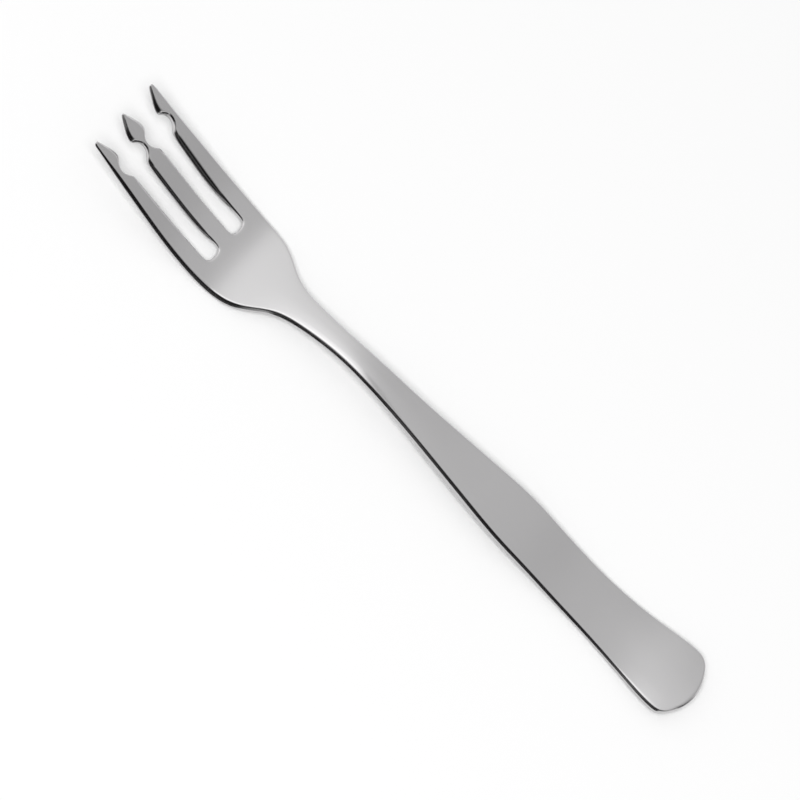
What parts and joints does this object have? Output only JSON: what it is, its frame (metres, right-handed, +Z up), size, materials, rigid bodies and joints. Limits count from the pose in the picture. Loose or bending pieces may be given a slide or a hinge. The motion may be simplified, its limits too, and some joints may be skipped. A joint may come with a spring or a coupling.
{
  "type": "steak fork",
  "caption": "Steak fork pressed from one sheet of stainless steel, with barbed, notched tines, a shallow bowl, a slim crowned neck and a broad flat handle with a rounded end.",
  "frame": {"origin": "on the table under the middle of the fork's length", "axes": "+X along the fork from the tips to the end of the handle, +Y across it, +Z up from the table, tines up"},
  "size_m": [0.2, 0.027, 0.0115],
  "materials": {
    "stainless_steel": "satin polish"
  },
  "bodies": {
    "root": {"fork": "stainless_steel"}
  },
  "joints": []
}
